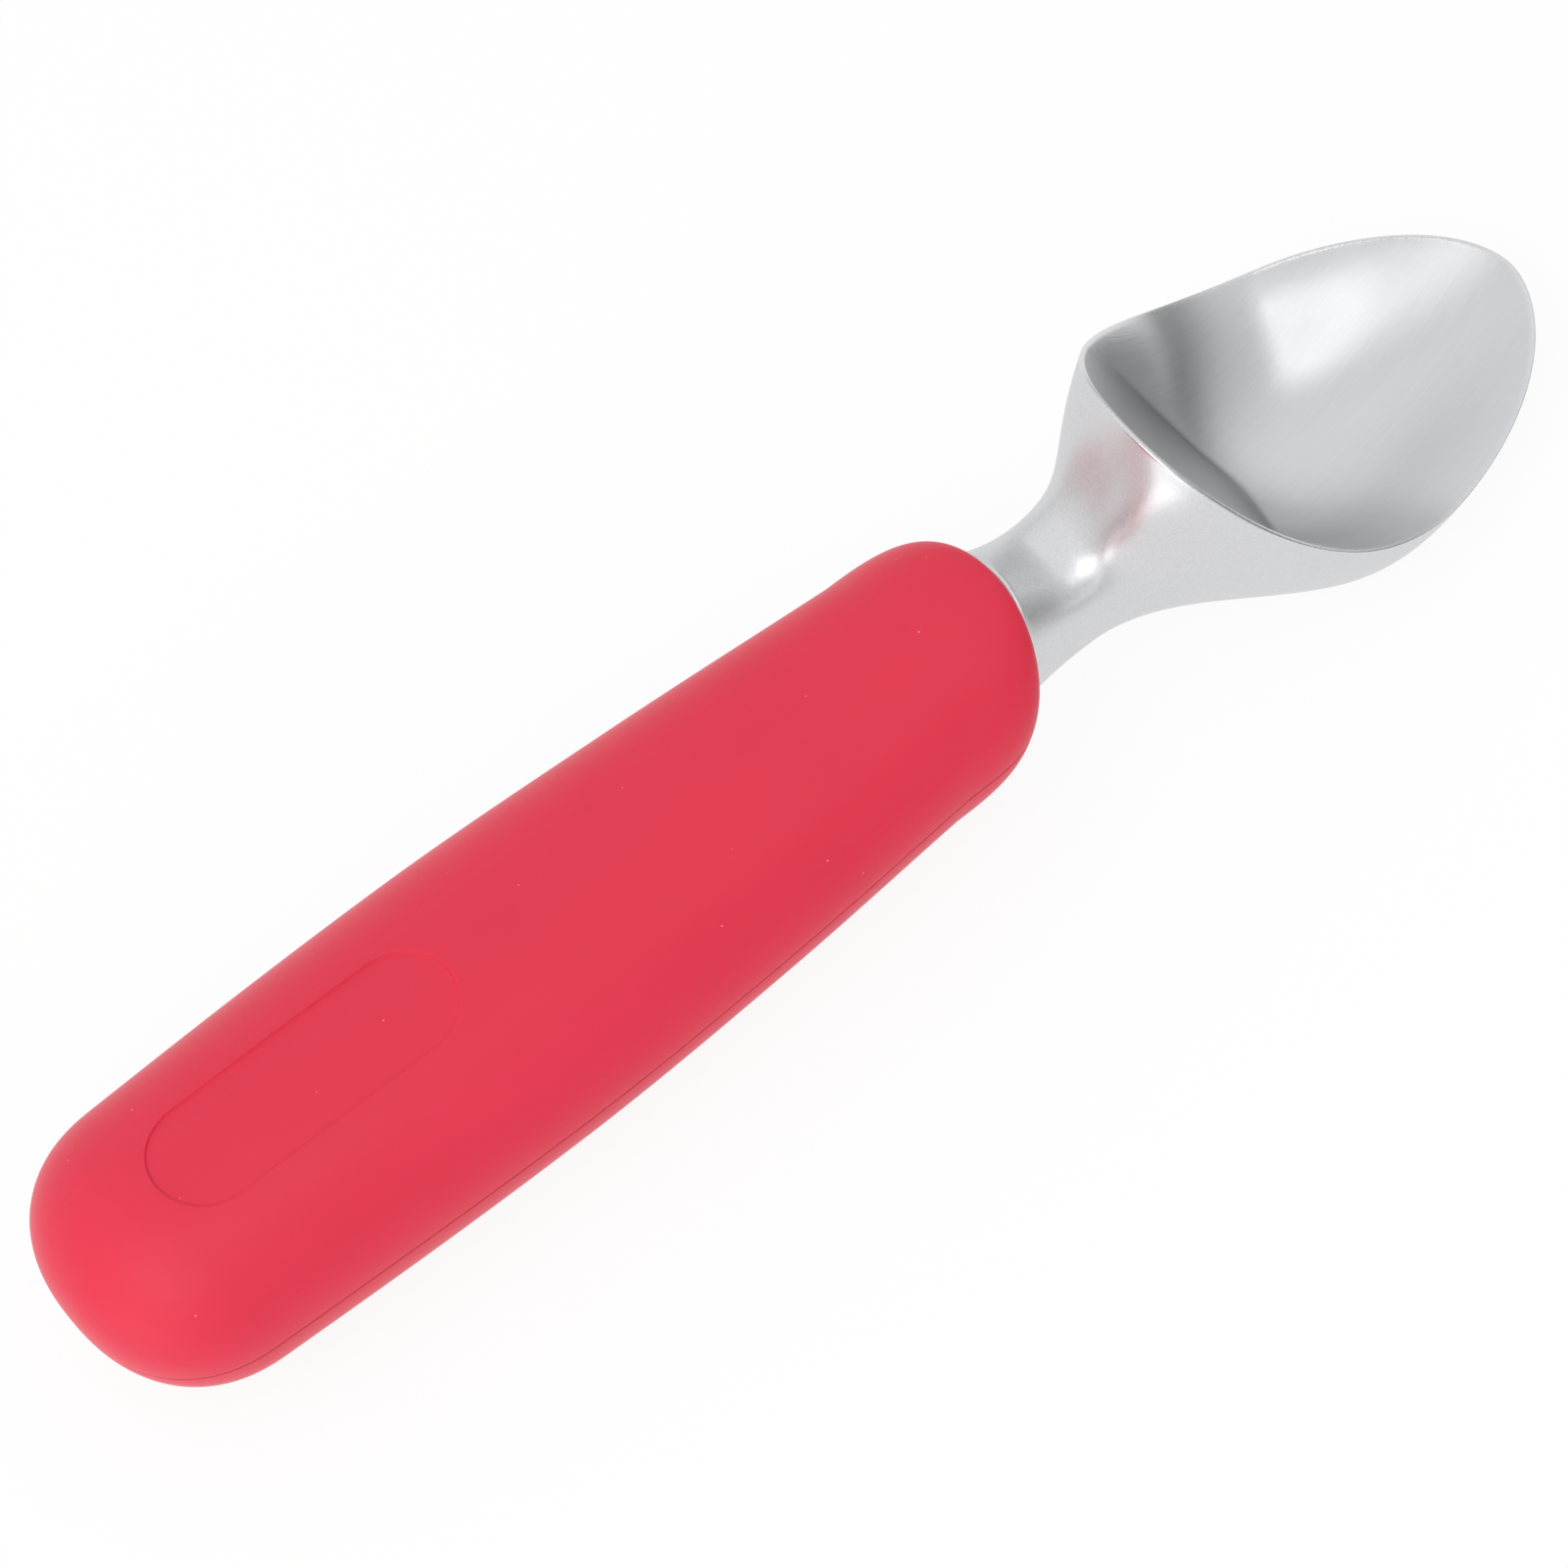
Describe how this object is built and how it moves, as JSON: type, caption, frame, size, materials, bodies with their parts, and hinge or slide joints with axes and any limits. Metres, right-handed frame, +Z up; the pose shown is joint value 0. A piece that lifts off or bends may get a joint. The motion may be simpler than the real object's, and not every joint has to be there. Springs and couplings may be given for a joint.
{
  "type": "ice cream scoop",
  "caption": "Ice cream scoop with a pointed, high-backed steel bowl cast in one with its neck and tang, and a thick soft oval grip moulded over a hollow core.",
  "frame": {"origin": "on the table, under the middle of the scoop's length and width", "axes": "+X from the butt of the grip to the tip of the bowl, +Y across, +Z up out of the open bowl"},
  "size_m": [0.1912, 0.0396, 0.0328],
  "materials": {
    "steel": "satin, brushed along the bowl, with a bright ground edge",
    "grip": "satin red silicone with a fine grain",
    "core": "moulded, never seen",
    "gasket": "plain moulded rubber",
    "screws": "plain zinc-plated"
  },
  "bodies": {
    "root": {"scoop_head": "steel", "grip_sleeve": "grip", "core_upper": "core", "core_lower": "core", "neck_gasket": "gasket", "tang_screw_front": "screws", "tang_screw_rear": "screws"}
  },
  "joints": []
}
